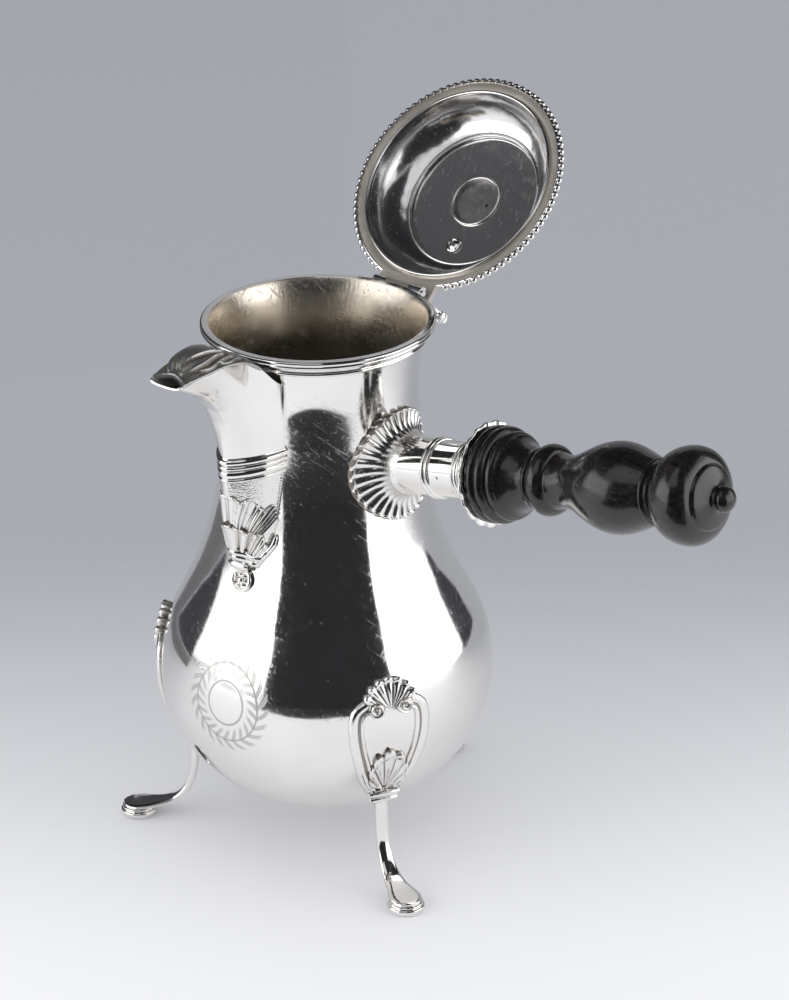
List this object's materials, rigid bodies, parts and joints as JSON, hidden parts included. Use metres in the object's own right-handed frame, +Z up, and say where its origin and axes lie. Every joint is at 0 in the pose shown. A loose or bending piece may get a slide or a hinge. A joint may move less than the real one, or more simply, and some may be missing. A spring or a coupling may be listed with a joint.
{
  "type": "chocolate pot",
  "caption": "Pear-shaped side-handled chocolate pot on three scrolled feet, with a hinged lid whose finial swivels off the stirrer's hole.",
  "frame": {"origin": "on the table, under the pot's axis", "axes": "+Z up; +X the way the handle points; the spout points along -Y; the lid's hinge is at +Y"},
  "size_m": [0.2502, 0.1907, 0.2609],
  "materials": {
    "silver": "polished, lightly worn",
    "silver_chased": "chased, darker in its hollows",
    "ebony": "polished black wood"
  },
  "bodies": {
    "pot": {"pot_body": "silver", "rim_moulding": "silver", "spout_shell": "silver", "spout_cover": "silver_chased", "spout_band": "silver", "spout_ornament": "silver_chased", "spout_rose": "silver_chased", "handle_rosette": "silver", "handle_tube": "silver", "handle_ring_near": "silver", "handle_ring_far": "silver", "handle_drip_pan": "silver", "handle_grip": "ebony", "handle_pin": "silver", "foot_leg_back": "silver", "foot_cartouche_back": "silver_chased", "foot_leg_left": "silver", "foot_cartouche_left": "silver_chased", "foot_leg_right": "silver", "foot_cartouche_right": "silver_chased", "hinge_bracket": "silver", "hinge_pin": "silver"},
    "lid": {"lid_shell": "silver", "lid_bezel": "silver", "lid_beading": "silver", "lid_hinge_leaf": "silver", "lid_thumbpiece": "silver", "stirrer_hole_collar": "silver"},
    "finial": {"finial_cap": "silver", "finial_knob": "silver", "finial_rivet": "silver"}
  },
  "joints": [
    {"name": "lid_hinge", "type": "hinge", "parent": "pot", "child": "lid", "pos_m": [0, 0.0448, 0.2], "axis": [1, 0, 0], "range_deg": [0, 134]},
    {"name": "finial_swivel", "type": "hinge", "parent": "lid", "child": "finial", "pos_m": [0, 0.07674, 0.20572], "axis": [0, 0.7193, -0.6947], "range_deg": [0, 100]}
  ]
}
